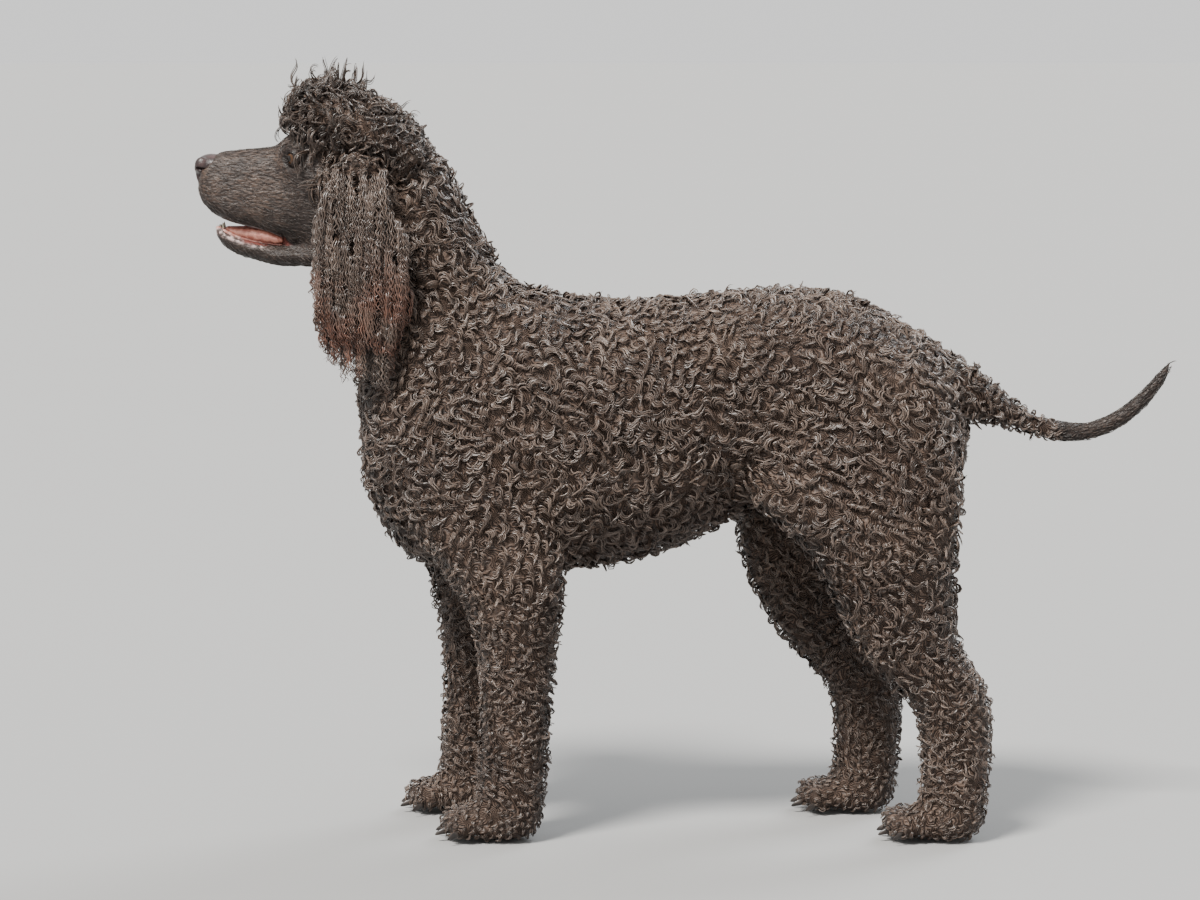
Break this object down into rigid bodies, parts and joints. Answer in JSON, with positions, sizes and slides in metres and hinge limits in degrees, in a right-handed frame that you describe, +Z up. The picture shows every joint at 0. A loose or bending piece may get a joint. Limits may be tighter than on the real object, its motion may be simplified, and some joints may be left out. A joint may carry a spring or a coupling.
{
  "type": "irish water spaniel figure",
  "caption": "Life-size standing water spaniel with a dense curly coat, loose topknot, long ringlet ears, smooth muzzle and a thin tapering tail, held still as a museum figure.",
  "frame": {"origin": "midway along and across the figure, on the floor under its feet", "axes": "+X from the nose towards the tail tip, +Y towards the dog's right side, +Z up"},
  "size_m": [1.0767, 0.2871, 0.8318],
  "materials": {
    "coat": "dense crisp curls of dark liver hair",
    "ear_coat": "long crimped ringlets, redder at the tips",
    "face_hair": "short smooth liver hair",
    "nose_leather": "pebbled liver nose leather, slightly moist",
    "mouth": "moist pink tongue",
    "eye": "polished amber-brown eye"
  },
  "bodies": {
    "root": {"head": "face_hair", "lower_jaw": "face_hair", "nose": "nose_leather", "tongue": "mouth", "eye_left": "eye", "eye_right": "eye", "topknot": "coat", "ear_left": "ear_coat", "ear_right": "ear_coat", "neck": "coat", "trunk": "coat", "foreleg_left": "coat", "foreleg_right": "coat", "forefoot_left": "coat", "forefoot_right": "coat", "thigh_left": "coat", "thigh_right": "coat", "hock_left": "coat", "hock_right": "coat", "hindfoot_left": "coat", "hindfoot_right": "coat", "tail_root": "coat", "tail_whip": "coat"}
  },
  "joints": []
}
